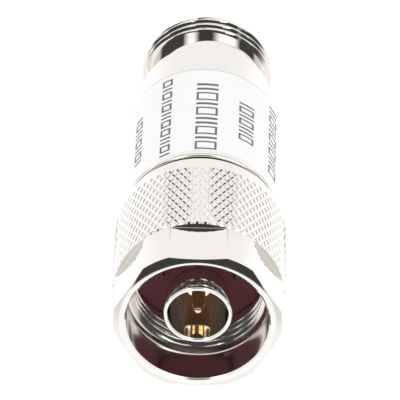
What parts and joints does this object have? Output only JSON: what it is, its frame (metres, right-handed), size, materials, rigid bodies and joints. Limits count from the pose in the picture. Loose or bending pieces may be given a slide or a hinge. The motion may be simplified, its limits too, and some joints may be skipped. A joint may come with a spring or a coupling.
{
  "type": "coaxial rf attenuator",
  "caption": "Straight in-line coaxial attenuator: a round labelled housing with a threaded jack at one end and a plug with a knurled, six-sided coupling nut at the other.",
  "frame": {"origin": "centre of the jack's end face, the lowest point of the part", "axes": "+Z along the common axis, from the jack to the plug; one flat of the hexagon faces -Y within 1.5 degrees, and the middle of the label faces -Y"},
  "size_m": [0.0202, 0.0202, 0.0512],
  "materials": {
    "nickel": "bright nickel plate",
    "gold": "gold plate",
    "insulator": "machined white fluoropolymer",
    "gasket": "matt silicone rubber",
    "label": "satin white film with grey print",
    "carrier": "satin plate",
    "ceramic": "unglazed alumina",
    "film": "matt resistor film",
    "spring": "bare spring bronze"
  },
  "bodies": {
    "attenuator": {"jack_shell": "nickel", "jack_socket": "gold", "jack_bead": "insulator", "jack_bead_retainer": "carrier", "jack_contact_strap": "gold", "housing": "nickel", "label_wrap": "label", "card_carrier_upper": "carrier", "card_carrier_lower": "carrier", "attenuator_card": "ceramic", "resistor_film": "film", "card_end_pads": "gold", "card_ground_pads": "gold", "ground_spring_left": "spring", "ground_spring_right": "spring", "plug_contact_strap": "gold", "plug_shell": "nickel", "plug_pin": "gold", "plug_bead": "insulator", "plug_bead_retainer": "carrier", "coupling_gasket": "gasket"},
    "float_ring": {"nut_snap_ring": "spring"},
    "nut": {"coupling_nut": "nickel"}
  },
  "joints": [
    {"name": "nut_float", "type": "slide", "parent": "attenuator", "child": "float_ring", "axis": [0, 0, 1], "range_m": [0, 0.0005]},
    {"name": "nut_spin", "type": "hinge", "parent": "float_ring", "child": "nut", "pos_m": [0, 0, 0.0352], "axis": [0, 0, 1], "continuous": true}
  ]
}
